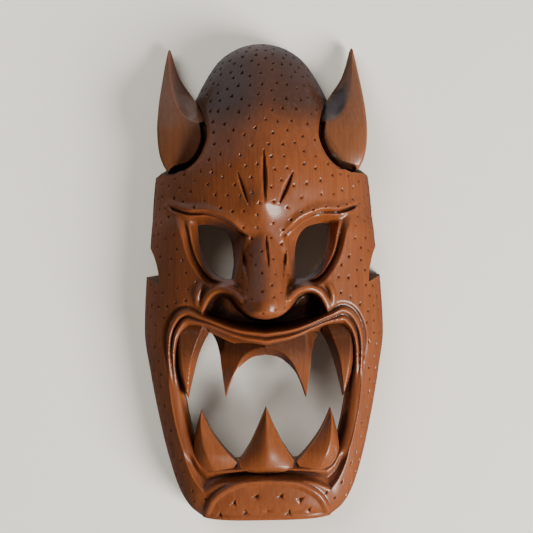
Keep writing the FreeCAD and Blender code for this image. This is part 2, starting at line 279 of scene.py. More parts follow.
def carve_forehead(depth, x, z):
    """A soft keel up the middle, and a rounded mass between the brows."""
    keel = ease(35, 62, z) * ease(190, 130, z)
    depth = depth - keel * 0.13 * (np.sqrt(x * x + 36) - 6)
    depth = depth + 4.6 * np.exp(-((x + 4) / 12) ** 2 - ((z - 58) / 13) ** 2)
    gap, _, _ = distance(smooth_run(BROW_EDGE), np.abs(x), z)
    fold = np.interp(gap, [0, 0.8, 2.6, 4.6, 7, 30], [0.2, 1.5, 2.0, 0.9, 0, 0])
    return depth + fold * ease(14, 24, np.abs(x))


def carve_sockets(depth, x, z):
    """An undercut groove below each brow, a lip on the cheek side, and walls down to the hole."""
    side = np.abs(x)
    runs = [BROW_EDGE, SOCKET_NOSE_SIDE, SOCKET_CHEEK_SIDE]
    inner = within(runs, side, z)
    outside_hole = -within(EYE_HOLE, side, z)
    share = np.clip(inner / (inner + np.maximum(outside_hole, 0) + 1e-6), 0, 1)
    walls = [
        np.interp(share, [0, 1], [0.1, 1]),
        np.interp(share, [0, 0.5, 1], [0, 0.55, 1]),
        np.interp(share, [0, 0.07, 0.40, 0.46, 0.56, 0.72, 1], [-0.05, 0, 0.52, 0.5, 0.30, 0.48, 1]),
    ]
    under_brow = 5.5 * np.interp(inner, [0, 0.7, 1.5, 2.6], [0, 1, 0.9, 0])
    total, weight_sum = 0, 0
    floor = 43 + 3 * ease(25, 45, z)
    for run, wall in zip(runs, walls):
        gap, _, _ = distance(smooth_run(run), side, z)
        weight = 1 / (gap + 0.4) ** 5
        carved = depth + (floor - depth) * wall
        if run is BROW_EDGE:
            carved = carved - under_brow * ease(9, 15, side)
        total = total + weight * carved
        weight_sum = weight_sum + weight
    return np.where(inner > 0, total / weight_sum, depth)


def carve_nose(depth, x, z):
    ridge = along_table(NOSE, 1, z)
    half_width = along_table(NOSE, 2, z)
    span = np.abs(x) / half_width
    nose = ridge - (ridge - NOSE_FOOT) * span ** 2.1
    nose = np.where((z < 54) & (z > -38), nose, 0)
    fade = ease(56, 44, z)
    depth = depth + (soft_max(depth, nose, 4) - depth) * fade
    for rib, radius in ((WING_RIB, 3.4), (CURL_RIB, 2.6)):
        gap, at, _ = distance(smooth_run(rib), np.abs(x), z)
        raised = at[..., 2] - radius + np.sqrt(np.maximum(radius ** 2 - gap ** 2, 0))
        depth = np.where(gap < radius, soft_max(depth, raised, 1.2), depth)
    return depth


def carve_nostrils(depth, x, z):
    """The deep shadowed hollow under the nose and its wings, above the lip."""
    inner = within(mirrored(NOSTRIL), x, z)
    floor = 36 + 6 * ease(46, 30, np.abs(x))
    return depth + (floor - depth) * ease(0, 3.0, inner)


def carve_lips(depth, x, z):
    """Two rolled ridges over the mouth, plain sloping walls at its sides, and a ridge under it."""
    inner = within(mirrored(MOUTH_OUTER), x, z)
    outside_hole = -within(mirrored(MOUTH_HOLE), x, z)
    share = np.clip(inner / (inner + np.maximum(outside_hole, 0) + 1e-6), 0, 1)
    upper = ease(-92, -52, z)
    lower = ease(-140, -154, z)
    sides = 1 - upper - lower
    fall = (upper * np.interp(share, [0, 0.55, 0.64, 0.74, 1], [0, 0.04, 0.22, 0.8, 1])
            + sides * np.interp(share, [0, 0.08, 0.7, 0.8, 1], [0, 0.03, 0.62, 0.9, 1])
            + lower * np.interp(share, [0, 0.1, 0.3, 0.5, 0.6, 1], [0, 0.4, 0.62, 0.3, 0.34, 1]))
    bumps = upper * np.interp(share, [0, 0.05, 0.12, 0.2, 0.27, 0.34, 0.42, 0.5, 0.6, 1],
                              [-2.4, -2.4, 1.4, 2.6, 1.6, -2.2, 0.6, 1.8, 0.4, 0])
    bumps = bumps + sides * np.interp(share, [0, 0.06, 0.14, 1], [0.6, 0.9, 0, 0])
    corner = ease(50, 58, np.abs(x)) * ease(-62, -50, z) * upper
    bumps = bumps + 0.45 * corner * np.sin((z - 0.7 * np.abs(x)) * 2 * math.pi / 2.1) * (share < 0.24)
    block = block_depth(x, z)
    lips = block + (LIP_FLOOR - block) * fall + bumps
    groove = ease(3.0, 0, -inner) * 2.2 * ease(38, 52, np.abs(x)) * ease(-75, -48, z)
    return np.where(inner > 0, lips, depth - groove * (inner > -3))


def carve_chin(depth, x, z):
    """A bevelled arch that stands proud of the jaw."""
    inner = within(mirrored(CHIN), x, z)
    raised = np.interp(inner, [0, 0.8, 4.2, 5.4, 30], [0, 1.8, 1.2, -0.6, 0.4])
    fall = ease(12, 0, -inner) * 1.5 * (inner <= 0)
    return np.where(inner > 0, depth + raised, depth - fall * (z < -160))


def cut_gouges(depth, x, z):
    """Leaf-shaped knife cuts on the forehead and the nose."""
    for (x0, z0), (x1, z1), width, deep in GOUGES:
        dx, dz = x1 - x0, z1 - z0
        length = math.hypot(dx, dz)
        along = ((x - x0) * dx + (z - z0) * dz) / length ** 2
        off = ((x - x0) * dz - (z - z0) * dx) / length
        half = width / 2 * np.sin(math.pi * np.clip(along, 0, 1)) ** 0.8 + 1e-6
        depth = depth - deep * np.clip(1 - np.abs(off) / half, 0, 1) * np.sqrt(half / (width / 2))
    return depth


def grid_directions(points):
    """Unit directions to the right, upwards and outwards at every point of a grid."""
    along = np.gradient(points, axis=1)
    upward = np.gradient(points, axis=0)
    outward = np.cross(along, upward)
    unit = [v / np.maximum(np.linalg.norm(v, axis=2, keepdims=True), 1e-9) for v in (along, outward)]
    return unit[0], np.cross(unit[1], unit[0]), unit[1]


def punch(points, places, size, deep, rng):
    """Three-sided nicks from the corner of a chisel, cut square to the surface."""
    right, up, outward = grid_directions(points)
    reach = 2.2 * size / 1000
    for i, j in places:
        rows = int(reach / np.linalg.norm(points[i + 1, j] - points[i, j])) + 1
        columns = int(reach / np.linalg.norm(points[i, j + 1] - points[i, j])) + 1
        window = (slice(max(i - rows, 0), i + rows + 1), slice(max(j - columns, 0), j + columns + 1))
        away = (points[window] - points[i, j]) * 1000
        turn = rng.normal(-0.35, 0.25)
        a, b = away @ right[i, j], away @ up[i, j]
        a, b = a * math.cos(turn) + b * math.sin(turn), b * math.cos(turn) - a * math.sin(turn)
        edge = np.maximum(-b, 0.5 * b + 1.2 * np.abs(a)) / (size * rng.uniform(0.85, 1.15))
        cut = deep * rng.uniform(0.85, 1.1) * np.clip(1 - edge, 0, 1)
        points[window] -= outward[i, j] * (cut / 1000)[..., None]


def scatter_nicks(points, z, plain, rng):
    """Places for nicks all over the plain wood, closer together on the crown."""
    candidates = np.argwhere(plain)
    rng.shuffle(candidates)
    found = np.full((MOST_NICKS, 3), 1e3)
    places = []
    for i, j in candidates[:PLACES_TRIED]:
        spacing = (NICK_SPACING - CROWN_CLOSER * float(ease(130, 185, z[i, j]))) / 1000
        free = np.min(np.sum((found - points[i, j]) ** 2, axis=1)) > spacing ** 2
        if free and len(places) < MOST_NICKS:
            found[len(places)] = points[i, j]
            places.append((i, j))
    return places


def plain_wood_mask(x, z, touched):
    """Where nothing is carved but the nicks."""
    side = np.abs(x)
    plain = touched & (within(mirrored(CHIN), x, z) < -2.5) & (cut_distance(x, z) > 3.5)
    plain &= within([BROW_EDGE, SOCKET_NOSE_SIDE, SOCKET_CHEEK_SIDE], side, z) < -2.5
    plain &= within(mirrored(MOUTH_OUTER), x, z) < -4
    plain &= within(mirrored(NOSTRIL), x, z) < -3.5
    plain &= (block_depth(x, z) > 6) & (z < 197)
    for rib in (WING_RIB, CURL_RIB):
        gap, _, _ = distance(smooth_run(rib), side, z)
        plain &= gap > 5
    for (x0, z0), (x1, z1), _, _ in GOUGES:
        gap, _, _ = distance(np.array([(x0, z0), (x1, z1)], float), x, z)
        plain &= gap > 4
    return plain


def nearest_points(x, z, places):
    """Grid places of hand-placed nicks."""
    return [np.unravel_index(np.argmin((x - px) ** 2 + (z - pz) ** 2), x.shape) for px, pz in places]


def soften(depth, wood, rounds):
    """Takes the grid's own steps out of steep edges."""
    wood = np.pad(wood[1:-1, 1:-1], 1)
    for _ in range(rounds):
        for axis in (0, 1):
            before, after = np.roll(depth, 1, axis), np.roll(depth, -1, axis)
            ok = wood & np.roll(wood, 1, axis) & np.roll(wood, -1, axis)
            depth = np.where(ok, 0.5 * depth + 0.25 * (before + after), depth)
    return depth


# ---------------------------------------------------------------------------------------------------
# Meshes.

face_low, face_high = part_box("face_shell")
WIDTH_SCALE = (face_high.x - face_low.x) / 2 / DRAWN_HALF_WIDTH
HEIGHT_SCALE = (face_high.z - face_low.z) / DRAWN_HEIGHT
DEPTH_SCALE = -face_low.y / DRAWN_DEPTH
MID_HEIGHT = (face_high.z + face_low.z) / 2


def to_metres(x, depth, z):
    """Drawn places as points of the frame."""
    return np.stack([x * WIDTH_SCALE, -depth * DEPTH_SCALE, z * HEIGHT_SCALE + MID_HEIGHT], axis=-1)


def deselect_all():
    bpy.ops.object.select_all(action="DESELECT")


def make_active(piece):
    deselect_all()
    piece.select_set(True)
    bpy.context.view_layer.objects.active = piece


def new_piece(name, vertices, faces):
    mesh = bpy.data.meshes.new(name)
    mesh.from_pydata(vertices, [], faces)
    piece = bpy.data.objects.new(name, mesh)
    bpy.context.scene.collection.objects.link(piece)
    return piece


def clean_up(piece, merge=0.00002):
    """Merges doubled points, drops loose ones and turns all faces outwards."""
    make_active(piece)
    bpy.ops.object.mode_set(mode="EDIT")
    bpy.ops.mesh.select_all(action="SELECT")
    bpy.ops.mesh.remove_doubles(threshold=merge)
    bpy.ops.mesh.delete_loose()
    bpy.ops.mesh.select_all(action="SELECT")
    bpy.ops.mesh.normals_make_consistent(inside=False)
    bpy.ops.object.mode_set(mode="OBJECT")


def thin_out(piece, triangles):
    """Fewer faces where the wood is plain, so that the fine cuts keep theirs."""
    count = sum(len(face.vertices) - 2 for face in piece.data.polygons)
    if count <= triangles:
        return
    make_active(piece)
    modifier = piece.modifiers.new("thin_out", "DECIMATE")
    modifier.ratio = triangles / count
    bpy.ops.object.modifier_apply(modifier=modifier.name)


def finish_surface(piece, angle=38):
    make_active(piece)
    bpy.ops.object.shade_smooth_by_angle(angle=math.radians(angle))


def solid_from_grids(name, front, back, kept):
    """A closed solid between two grids of points, with cells left out where kept is false."""
    rows, columns = front.shape[:2]
    index = np.arange(rows * columns).reshape(rows, columns)
    i, j = np.nonzero(kept)
    a, b, c, d = index[i, j], index[i, j + 1], index[i + 1, j + 1], index[i + 1, j]
    faces = [np.stack([a, b, c, d], 1)]
    shift = rows * columns
    faces.append(np.stack([d, c, b, a], 1) + shift)
    frame_kept = np.pad(kept, 1)
    neighbours = [
        (~frame_kept[:-2, 1:-1], a, b), (~frame_kept[1:-1, 2:], b, c),
        (~frame_kept[2:, 1:-1], c, d), (~frame_kept[1:-1, :-2], d, a),
    ]
    for open_side, start, end in neighbours:
        edge = open_side[i, j]
        start, end = start[edge], end[edge]
        faces.append(np.stack([end, start, start + shift, end + shift], 1))
    points = np.vstack([front.reshape(-1, 3), back.reshape(-1, 3)])
    piece = new_piece(name, points.tolist(), np.vstack(faces).tolist())
    clean_up(piece)
    return piece


def cut_distance(x, z):
    """Distance to the nearest cut that goes right through, negative where the wood is gone."""
    side = np.abs(x)
    cuts = [within(mirrored(MOUTH_HOLE), x, z), within(EYE_HOLE, side, z),
            within(HORN_POCKET, side, z), within(CHEEK_NOTCH, side, z)]
    return -np.maximum.reduce(cuts)


def corners_of(cells):
    """The grid points at the corners of any of these cells."""
    points = np.zeros((cells.shape[0] + 1, cells.shape[1] + 1), bool)
    for di in (0, 1):
        for dj in (0, 1):
            points[di:di + cells.shape[0], dj:dj + cells.shape[1]] |= cells
    return points


def snap_to(edge_distance, x, z, rim):
    """Moves the points beside an edge on to it."""
    step = 0.05
    px, pz = x[rim], z[rim]
    for _ in range(2):
        here = edge_distance(px, pz)
        gx = (edge_distance(px + step, pz) - edge_distance(px - step, pz)) / (2 * step)
        gz = (edge_distance(px, pz + step) - edge_distance(px, pz - step)) / (2 * step)
        size = np.maximum(np.hypot(gx, gz), 0.5)
        px, pz = px - here * gx / size ** 2, pz - here * gz / size ** 2
    x[rim], z[rim] = px, pz


def hollow_depth(x, z):
    """Depth of the hollow back, with a softly broken rim edge."""
    inner = within(mirrored(HOLLOW_OUTLINE), x, z, reach=5.0)
    wall = np.clip(inner / 20, 0, 1)
    return along_table(HOLLOW_DEPTH, 1, z) * np.sin(wall * math.pi / 2) ** 0.8 * ease(-0.5, 2.5, inner)


def rounded_rim(x, z):
    """Softens the skull's rim around the horns' pockets."""
    gap = -within(HORN_POCKET, np.abs(x), z)
    return 2.6 * np.clip(1 - gap / 3.2, 0, 1) ** 1.7 * (z > 87)


def cut_rise(x, z):
    """How far the sloping cuts stand higher at the back than at the front."""
    side = np.abs(x)
    notch = np.interp(side, *zip(*NOTCH_RISE)) * ease(-40, -4, z) * (z < 3) * (side > 80)
    shoulder = np.interp(side, *zip(*SHOULDER_RISE)) * ease(62, 84, z) * (z < 89) * (side > 58)
    return notch + shoulder


def make_face():
    rng = np.random.default_rng(SEED)
    rows = int(DRAWN_HEIGHT / GRID_STEP)
    columns = int(math.pi * 0.8 * DRAWN_HALF_WIDTH / GRID_STEP)
    crown = np.linspace(0, 1, rows)
    z_line = -200 + 400 * np.sin(crown * math.pi / 2 * 0.98) / math.sin(math.pi / 2 * 0.98)
    z_line = 0.5 * z_line + 0.5 * np.linspace(-200, 200, rows)
    t_line = np.linspace(-1, 1, columns)
    z, t = np.meshgrid(z_line, t_line, indexing="ij")
    half_width = np.sqrt(np.maximum(along_table(BLOCK_SQUARED, 1, z), 0))
    fullness = along_table(BLOCK_SQUARED, 3, z)
    sine = np.sin(t * math.pi / 2)
    x = half_width * np.sign(sine) * np.abs(sine) ** (2 / fullness)
    centre_x = (x[:-1, :-1] + x[1:, 1:]) / 2
    centre_z = (z[:-1, :-1] + z[1:, 1:]) / 2
    kept = cut_distance(centre_x, centre_z) > 0
    touched, lost = corners_of(kept), corners_of(~kept)
    snap_to(cut_distance, x, z, touched & lost)
    depth = block_depth(x, z)
    for carve in (carve_forehead, carve_nose, carve_sockets, carve_nostrils, carve_lips, carve_chin):
        depth = carve(depth, x, z)
    depth = soften(depth, touched, 2)
    depth = cut_gouges(depth, x, z)
    depth = depth + 0.12 * ripple(x, z, 26, 3) * np.clip(depth / 20, 0, 1)
    depth = depth - rounded_rim(x, z)
    depth = np.clip(depth, 0, DRAWN_DEPTH)
    depth[:, 0] = depth[:, -1] = 0
    front = to_metres(x, depth, z)
    places = scatter_nicks(front, z, plain_wood_mask(x, z, touched), rng)
    punch(front, places, NICK_SIZE, NICK_DEPTH, rng)
    punch(front, nearest_points(x, z, CHIN_NICKS), CHIN_NICK_SIZE, CHIN_NICK_DEPTH, rng)
    front[..., 1] = np.minimum(front[..., 1], 0)
    behind = np.minimum(hollow_depth(x, z), np.maximum(depth - 4, 0))
    back_z = z + cut_rise(x, z) * ease(2, 20, depth)
    piece = solid_from_grids("carved_face", front, to_metres(x, behind, back_z), kept)
    thin_out(piece, MAX_TRIANGLES)
    cut_hanger_recess(piece)
    finish_surface(piece)
    return piece


RECESS_MARGIN = 0.002
RECESS_FLOOR_GAP = 0.0001
PAST_BACK = 0.01


def cut_hanger_recess(face):
    """A shallow pocket in the back for the strap, and for the ring whether it hangs or stands up."""
    strap_low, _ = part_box("hanger_strap")
    ring_low, ring_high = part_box("hanger_ring")
    pivot = frame["record"]["behaviour"]["joints"][0]["pos_m"]
    side = ring_high.x + RECESS_MARGIN
    top = 2 * pivot[2] - ring_low.z + RECESS_MARGIN
    bottom = min(strap_low.z, ring_low.z) - RECESS_MARGIN
    floor = strap_low.y - RECESS_FLOOR_GAP
    deselect_all()
    bpy.ops.mesh.primitive_cube_add(size=1, location=(0, (floor + PAST_BACK) / 2, (top + bottom) / 2),
                                    scale=(2 * side, PAST_BACK - floor, top - bottom))
    cutter = bpy.context.active_object
    make_active(face)
    modifier = face.modifiers.new("hanger_recess", "BOOLEAN")
    modifier.operation = "DIFFERENCE"
    modifier.solver = "EXACT"
    modifier.object = cutter
    bpy.ops.object.modifier_apply(modifier=modifier.name)
    make_active(cutter)
    bpy.ops.object.delete()


carved_face = make_face()
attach(carved_face, "mask")
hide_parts("face_shell")
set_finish(carved_face, "face_wood")

# ---------------------------------------------------------------------------------------------------
# Fangs and horns. Each is carved from an outline in from its edges, and stands on a flat back.

# An upper inner fang, with half of the arch between the two.
INNER_ARCH = [(0.15, -64.5), (10, -66.3), (18, -71.5), (24.5, -79), (28.8, -88), (31.5, -96), (32.6, -99.5)]
INNER_ARCH_FRONT = [(0.15, -57.5), (8, -59), (16, -63.5), (22, -71), (27, -82), (30.6, -92), (32.6, -99.5)]
INNER_OUTLINE = [
    INNER_ARCH,
    [(32.6, -99.5), (34.5, -88), (36.3, -75), (38, -62), (41, -53), (44, -48)],
    [(44, -48), (30, -40), (0.15, -46)],
    [(0.15, -46), (0.15, -64.5)],
]
# An upper outer fang, with a bevel on its inner edge.
OUTER_INNER_EDGE = [(46, -46), (50, -53), (55, -65), (59, -80), (62, -93), (63.3, -99.5)]
OUTER_BEVEL_EDGE = [(50, -38), (55.5, -52), (60, -66), (62.3, -82), (63, -92), (63.3, -99.5)]
OUTER_SIDE_EDGE = [(63.3, -99.5), (66.5, -92), (71, -78), (74, -62), (74.5, -48), (71, -36)]
OUTER_OUTLINE = [
    OUTER_INNER_EDGE,
    OUTER_SIDE_EDGE,
    [(71, -36), (62, -30), (52, -34), (46, -46)],
]
OUTER_RIDGE = [(68, -32), (69.5, -52), (68.5, -68), (66, -84), (63.3, -99.5)]
# A lower side fang.
SIDE_INNER_EDGE = [(53, -108.5), (49, -118), (43, -129), (34, -141), (24.3, -151.5)]
SIDE_OUTER_EDGE = [(36, -163.5), (48, -163.5), (56, -157), (59.5, -146), (59, -133), (56.5, -120),
                   (53, -108.5)]
SIDE_OUTLINE = [
    SIDE_INNER_EDGE,
    [(24.3, -151.5), (29, -158.5), (36, -163.5)],
    SIDE_OUTER_EDGE,
]
SIDE_RIDGE = [(53, -108.5), (53.4, -120), (51.5, -135), (46, -150), (40, -165)]
# The lower centre fang, as its right-hand half.
CENTRE_EDGE = [(0, -107.5), (3.2, -115), (7.5, -125), (14, -138), (22.5, -151)]
CENTRE_OUTLINE = [
    CENTRE_EDGE,
    [(22.5, -151), (20, -157), (10, -160), (0, -161)],
]
# A horn: its free outer edge, its foot, the edge in the skull's pocket, and its free inner edge.
HORN_OUTER_EDGE = [(78.6, 193), (80.8, 181), (82.6, 168), (84.6, 150), (86, 128), (85.5, 110), (83, 97),
                   (79, 88.2)]
HORN_POCKET_EDGE = [(72, 87), (59.2, 90.2), (50.8, 98.4), (45.4, 112), (46.4, 125), (50.4, 139),
                    (58.2, 153.5)]
HORN_INNER_EDGE = [(58.2, 153.5), (63, 160), (69, 170), (73.2, 182), (76, 192.6)]
HORN_OUTLINE = [
    HORN_OUTER_EDGE,
    [(79, 88.2), (72, 87)],
    HORN_POCKET_EDGE,
    HORN_INNER_EDGE,
    [(76, 192.6), (77.2, 194.6), (78.6, 193)],
]
HORN_RIDGE = [(50.5, 126.5), (56, 127.8), (62.6, 131.5), (68.5, 140.5), (73.5, 156), (76, 172),
              (77.6, 193.5)]
HORN_FACE = [(86, 42), (92, 47), (104, 49), (120, 48), (140, 41), (158, 31), (175, 22), (193.5, 15)]


def level(table, z):
    """A smooth curve through (height, depth) pairs."""
    return along_table(table, 1, z)


def gap_to(run, x, z):
    return distance(smooth_run(run), x, z)[0]


def ridge_share(edge, ridge, x, z):
    """0 on an edge, rising to 1 on a ridge."""
    from_edge, from_ridge = gap_to(edge, x, z), gap_to(ridge, x, z)
    return from_edge / (from_edge + from_ridge + 1e-6)


def left_of(path, x, z):
    """Which points lie to the left of a line that goes upwards or downwards."""
    line = sorted(smooth_run(path).tolist(), key=lambda point: point[1])
    return x < np.interp(z, [point[1] for point in line], [point[0] for point in line])


def inner_fang_front(fall):
    """The front of an inner fang that falls this steeply away from the middle."""
    def front(x, z):
        face = level([(-99.5, 46), (-80, 48), (-60, 49.5), (-40, 49)], z)
        face = face - fall * np.maximum(x, 0) * ease(-112, -70, z)
        face = face - 8 * ease(33, 43, x) * ease(-66, -52, z)
        share = ridge_share(INNER_ARCH, INNER_ARCH_FRONT, x, z)
        arch = smooth_run(INNER_ARCH_FRONT)
        below = (z < np.interp(x, arch[:, 0], arch[:, 1])) & (x < arch[-1, 0])
        return np.where(below, 35 + (face - 35) * share, face)
    return front


def outer_fang_front(x, z):
    middle = level([(-99.5, 44.5), (-72, 49), (-50, 48), (-30, 42)], z)
    bevel = 36.5 + (middle - 36.5) * ridge_share(OUTER_INNER_EDGE, OUTER_BEVEL_EDGE, x, z)
    side = 38 + (middle - 38) * ridge_share(OUTER_SIDE_EDGE, OUTER_RIDGE, x, z) ** 0.8
    in_bevel = left_of(OUTER_BEVEL_EDGE, x, z)
    on_side = ~left_of(OUTER_RIDGE, x, z)
    return np.where(in_bevel, bevel, np.where(on_side, side, middle))


def side_fang_front(x, z):
    ridge = level([(-165, 39), (-156, 46.5), (-143, 51), (-125, 49), (-108, 45)], z)
    inside = ridge - 3.2 * (1 - ridge_share(SIDE_INNER_EDGE, SIDE_RIDGE, x, z)) ** 1.6
    outside = ridge - (ridge - 40) * (1 - ridge_share(SIDE_OUTER_EDGE, SIDE_RIDGE, x, z)) ** 1.3
    return np.where(left_of(SIDE_RIDGE, x, z), inside, outside)


def centre_fang_front(x, z):
    ridge = level([(-162, 45), (-154, 50.5), (-142, 52), (-125, 49.5), (-107, 46)], z)
    gap = gap_to(CENTRE_EDGE, np.abs(x), z)
    share = gap / (gap + np.abs(x) + 1e-6)
    return ridge - (ridge - 44) * (1 - share) ** 1.7


def horn_front(x, z):
    """A smooth leaf-shaped face, a groove in the pocket, and a scoop between ridge and free edge."""
    face = along_table(HORN_FACE, 1, z) - 0.012 * np.maximum(x - 66, 0) ** 2
    in_scoop = left_of(HORN_RIDGE, x, z) & (z > HORN_RIDGE[0][1])
    share = ridge_share(HORN_INNER_EDGE, HORN_RIDGE, x, z)
    edge_depth = np.interp(z, [125, 155, 193.5], [26, 12, 9])
    scoop = edge_depth + (face - edge_depth) * share ** 2.2
    pocket_gap = gap_to(HORN_POCKET_EDGE, x, z)
    groove = 8 * ease(4.6, 3.0, pocket_gap) * (z < 130)
    rounding = 1.6 * np.clip(1 - gap_to(HORN_OUTER_EDGE, x, z) / 2.2, 0, 1) ** 2
    return np.where(in_scoop, scoop, face - groove) - rounding


def carved_piece(name, outline, front, back_depth, slot, node, mirror=False, step=0.45, triangles=14000):
    """A closed solid inside an outline, with a carved front and a flat back."""
    path = closed_outline(outline)
    low, high = path.min(0) - step, path.max(0) + step
    across = np.linspace(low[0], high[0], int((high[0] - low[0]) / step) + 1)
    upward = np.linspace(low[1], high[1], int((high[1] - low[1]) / step) + 1)
    z, x = np.meshgrid(upward, across, indexing="ij")
    kept = within(outline, (x[:-1, :-1] + x[1:, 1:]) / 2, (z[:-1, :-1] + z[1:, 1:]) / 2) > 0
    touched, lost = corners_of(kept), corners_of(~kept)
    snap_to(lambda px, pz: within(outline, px, pz), x, z, touched & lost)
    depth = soften(front(x, z), touched, 1)
    depth = depth + 0.06 * ripple(x, z, 14, 11)
    behind = np.minimum(back_depth(z), depth - 0.5)
    sign = -1 if mirror else 1
    piece = solid_from_grids(name, to_metres(sign * x, depth, z), to_metres(sign * x, behind, z), kept)
    thin_out(piece, triangles)
    finish_surface(piece, 30)
    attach(piece, "mask")
    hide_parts(node)
    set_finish(piece, slot)
    return piece


def flat(depth):
    return lambda z: np.full(z.shape, float(depth))


def horn_back(z):
    return level([(86, 12), (100, 6), (120, 5), (150, 7), (193, 4)], z)


centre_outline = [CENTRE_OUTLINE[0], CENTRE_OUTLINE[1]] + mirrored(CENTRE_OUTLINE)[2:]
pieces = [carved_face]
for side, mirror in (("right", False), ("left", True)):
    pieces.append(carved_piece(f"carved_{side}_horn", HORN_OUTLINE, horn_front, horn_back, "horn_wood",
                               f"{side}_horn", mirror, 0.6, 20000))
    pieces.append(carved_piece(f"carved_upper_{side}_inner_fang", INNER_OUTLINE,
                               inner_fang_front(0.55 if mirror else 0.1), flat(28),
                               "fang_wood", f"upper_{side}_inner_fang", mirror))
    pieces.append(carved_piece(f"carved_upper_{side}_outer_fang", OUTER_OUTLINE, outer_fang_front, flat(34),
                               "fang_wood", f"upper_{side}_outer_fang", mirror))
    pieces.append(carved_piece(f"carved_lower_{side}_side_fang", SIDE_OUTLINE, side_fang_front, flat(32),
                               "fang_wood", f"lower_{side}_side_fang", mirror))
pieces.append(carved_piece("carved_lower_centre_fang", centre_outline, centre_fang_front, flat(32),
                           "fang_wood", "lower_centre_fang"))


# ---------------------------------------------------------------------------------------------------
# How sheltered and exposed each point of the wood is, and where shade is painted, kept with the mesh for the
# finish.

SHELTER_RAYS = 14
SHELTER_REACH = 0.030


def mesh_arrays(mesh):
    points, normals = np.zeros(len(mesh.vertices) * 3), np.zeros(len(mesh.vertices) * 3)
    mesh.vertices.foreach_get("co", points)
    mesh.vertices.foreach_get("normal", normals)
    edges = np.zeros(len(mesh.edges) * 2, int)
    mesh.edges.foreach_get("vertices", edges)
    return points.reshape(-1, 3), normals.reshape(-1, 3), edges.reshape(-1, 2)


def keep_values(mesh, name, values):
    attribute = mesh.attributes.new(name, "FLOAT", "POINT")
    attribute.data.foreach_set("value", np.asarray(values, np.float32))


def exposed_edges(points, normals, edges):
    """Above half on raised edges, below half in cuts."""
    total, count = np.zeros(len(points)), np.zeros(len(points))
    for start, end in ((0, 1), (1, 0)):
        here, there = edges[:, start], edges[:, end]
        away = points[there] - points[here]
        length = np.linalg.norm(away, axis=1) + 1e-9
        np.add.at(total, here, np.sum(away * normals[here], axis=1) / length)
        np.add.at(count, here, 1)
    bend = -total / np.maximum(count, 1)
    for _ in range(2):
        spread, near = bend.copy(), np.ones(len(points))
        for start, end in ((0, 1), (1, 0)):
            np.add.at(spread, edges[:, start], bend[edges[:, end]])
            np.add.at(near, edges[:, start], 1)
        bend = spread / near
    return np.clip(0.5 + bend * 3, 0, 1)


def sheltered_share(points, normals, tree, rng):
    """Share of directions from each point that meet wood within reach."""
    directions = rng.normal(size=(SHELTER_RAYS, 3))
    directions /= np.linalg.norm(directions, axis=1, keepdims=True)
    blocked = np.zeros(len(points))
    starts = points + normals * 0.0004
    for direction in directions:
        turned = direction[None, :] + normals * 1.05
        turned /= np.maximum(np.linalg.norm(turned, axis=1, keepdims=True), 1e-9)
        cast = tree.ray_cast
        blocked += [cast(start, way, SHELTER_REACH)[3] is not None
                    for start, way in zip(starts.tolist(), turned.tolist())]
    return blocked / SHELTER_RAYS


def painted_shelf_shade(points, normals):
    """Painted shade on the level cuts at the cheeks and shoulders, which take the back's dark unwaxed
    finish.
    """
    x = np.abs(points[:, 0]) / WIDTH_SCALE
    z = (points[:, 2] - MID_HEIGHT) / HEIGHT_SCALE
    notch = (x > 84) & (z > -9) & (z < 9)
    shoulder = (x > 62) & (z > 82) & (z < 98)
    return 0.9 * ((notch | shoulder) & (normals[:, 2] > 0.45))


def painted_root_shade(points):
    """Painted shade on the upper fangs, darkest at their roots under the lip."""
    z = (points[:, 2] - MID_HEIGHT) / HEIGHT_SCALE
    return 0.62 * ease(-98, -52, z)


def painted_crown_shade(points):
    """Painted shade on the crown, weaker up the middle."""
    x = points[:, 0] / WIDTH_SCALE
    z = (points[:, 2] - MID_HEIGHT) / HEIGHT_SCALE
    return (0.70 - 0.12 * np.exp(-(x / 13) ** 2)) * ease(88, 146, z)


def note_wear_and_shade(carved):
    points, polygons, offset = [], [], 0
    for piece in carved:
        own, _, _ = mesh_arrays(piece.data)
        points.extend(own.tolist())
        polygons.extend([[offset + v for v in face.vertices] for face in piece.data.polygons])
        offset += len(own)
    tree = BVHTree.FromPolygons(points, polygons)
    for piece in carved:
        own, normals, edges = mesh_arrays(piece.data)
        shelter_and_painted_shade = sheltered_share(own, normals, tree, np.random.default_rng(SEED))
        behind = np.clip(normals[:, 1] * 3 - 0.2, 0, 1)
        if piece is carved_face:
            shelter_and_painted_shade = np.maximum(shelter_and_painted_shade, painted_crown_shade(own))
            # The level shelves get painted shade through the back's dark finish.
            behind = np.maximum(behind, painted_shelf_shade(own, normals))
        elif "upper" in piece.name:
            shelter_and_painted_shade = np.maximum(shelter_and_painted_shade, painted_root_shade(own))
        keep_values(piece.data, "shelter_and_painted_shade", shelter_and_painted_shade)
        keep_values(piece.data, "exposed", exposed_edges(own, normals, edges))
        keep_values(piece.data, "behind", behind)


note_wear_and_shade(pieces)


# ---------------------------------------------------------------------------------------------------
# Finishes. Effects that several materials use are node groups that put out values or colours.

def new_group(name, inputs, outputs):
    group = bpy.data.node_groups.new(name, "ShaderNodeTree")
    for label, kind in inputs:
        group.interface.new_socket(label, in_out="INPUT", socket_type=kind)
    for label, kind in outputs:
        group.interface.new_socket(label, in_out="OUTPUT", socket_type=kind)
    start, end = group.nodes.new("NodeGroupInput"), group.nodes.new("NodeGroupOutput")
    return group, start, end


def math_node(tree, operation, first, second, clamp=False):
    node = tree.nodes.new("ShaderNodeMath")
    node.operation = operation
    node.use_clamp = clamp
    for socket, value in zip(node.inputs, (first, second)):
        if isinstance(value, (int, float)):
            socket.default_value = value
        else:
            tree.links.new(value, socket)
    return node.outputs[0]


